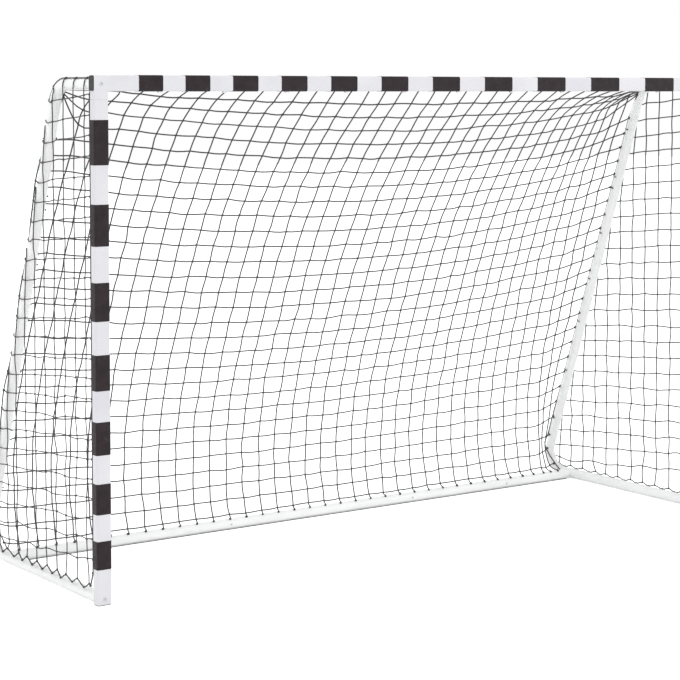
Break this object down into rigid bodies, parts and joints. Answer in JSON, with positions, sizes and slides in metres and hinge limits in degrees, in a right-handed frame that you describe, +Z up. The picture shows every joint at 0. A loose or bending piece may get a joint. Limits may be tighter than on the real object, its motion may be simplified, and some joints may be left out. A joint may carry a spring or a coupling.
{
  "type": "soccer goal",
  "caption": "Free-standing training soccer goal: rectangular front tubes with black bands, round rear tubes and a black cord net.",
  "frame": {"origin": "on the ground, at the middle of the goal's footprint", "axes": "+X along the crossbar to the right as seen from the field, +Y from the goal line into the goal, +Z up"},
  "size_m": [2.6056, 0.845, 1.6507],
  "materials": {
    "white_square_tube": "gloss",
    "white_round_tube": "gloss",
    "black_tape": "satin",
    "black_plastic": "matt",
    "zinc_steel": "satin",
    "black_cord": "woven"
  },
  "bodies": {
    "goal": {"crossbar_left": "white_square_tube", "crossbar_middle": "white_square_tube", "crossbar_right": "white_square_tube", "left_post_upper": "white_square_tube", "left_post_lower": "white_square_tube", "right_post_upper": "white_square_tube", "right_post_lower": "white_square_tube", "left_upper_side_tube": "white_round_tube", "left_lower_side_tube": "white_round_tube", "right_upper_side_tube": "white_round_tube", "right_lower_side_tube": "white_round_tube", "rear_rail_left": "white_round_tube", "rear_rail_middle": "white_round_tube", "rear_rail_right": "white_round_tube", "crossbar_plug_left": "black_plastic", "crossbar_plug_right": "black_plastic", "foot_plug_left": "black_plastic", "foot_plug_right": "black_plastic", "crossbar_insert_left": "black_plastic", "crossbar_insert_right": "black_plastic", "foot_insert_left": "black_plastic", "foot_insert_right": "black_plastic", "crossbar_bolt_left": "zinc_steel", "crossbar_bolt_right": "zinc_steel", "foot_bolt_left": "zinc_steel", "foot_bolt_right": "zinc_steel", "crossbar_band_01": "black_tape", "crossbar_band_02": "black_tape", "crossbar_band_03": "black_tape", "crossbar_band_04": "black_tape", "crossbar_band_05": "black_tape", "crossbar_band_06": "black_tape", "crossbar_band_07": "black_tape", "crossbar_band_08": "black_tape", "crossbar_band_09": "black_tape", "crossbar_band_10": "black_tape", "crossbar_band_11": "black_tape", "left_post_band_1": "black_tape", "left_post_band_2": "black_tape", "left_post_band_3": "black_tape", "left_post_band_4": "black_tape", "left_post_band_5": "black_tape", "left_post_band_6": "black_tape", "left_post_band_7": "black_tape", "right_post_band_1": "black_tape", "right_post_band_2": "black_tape", "right_post_band_3": "black_tape", "right_post_band_4": "black_tape", "right_post_band_5": "black_tape", "right_post_band_6": "black_tape", "right_post_band_7": "black_tape", "rear_net": "black_cord", "left_net": "black_cord", "right_net": "black_cord"},
    "rail_snap_1": {"rail_snap_button_1": "zinc_steel"},
    "rail_snap_2": {"rail_snap_button_2": "zinc_steel"},
    "rail_snap_3": {"rail_snap_button_3": "zinc_steel"},
    "rail_snap_4": {"rail_snap_button_4": "zinc_steel"},
    "left_upright_snap": {"left_upright_snap_button": "zinc_steel"},
    "right_upright_snap": {"right_upright_snap_button": "zinc_steel"}
  },
  "joints": [
    {"name": "rail_snap_1_press", "type": "slide", "parent": "goal", "child": "rail_snap_1", "axis": [0, 1, 0], "range_m": [0, 0.005], "stiffness_N_per_m": 2000, "springref_m": -0.002},
    {"name": "rail_snap_2_press", "type": "slide", "parent": "goal", "child": "rail_snap_2", "axis": [0, 1, 0], "range_m": [0, 0.005], "stiffness_N_per_m": 2000, "springref_m": -0.002},
    {"name": "rail_snap_3_press", "type": "slide", "parent": "goal", "child": "rail_snap_3", "axis": [0, 1, 0], "range_m": [0, 0.005], "stiffness_N_per_m": 2000, "springref_m": -0.002},
    {"name": "rail_snap_4_press", "type": "slide", "parent": "goal", "child": "rail_snap_4", "axis": [0, 1, 0], "range_m": [0, 0.005], "stiffness_N_per_m": 2000, "springref_m": -0.002},
    {"name": "left_upright_snap_press", "type": "slide", "parent": "goal", "child": "left_upright_snap", "axis": [-1, 0, 0], "range_m": [0, 0.005], "stiffness_N_per_m": 2000, "springref_m": -0.002},
    {"name": "right_upright_snap_press", "type": "slide", "parent": "goal", "child": "right_upright_snap", "axis": [1, 0, 0], "range_m": [0, 0.005], "stiffness_N_per_m": 2000, "springref_m": -0.002}
  ]
}
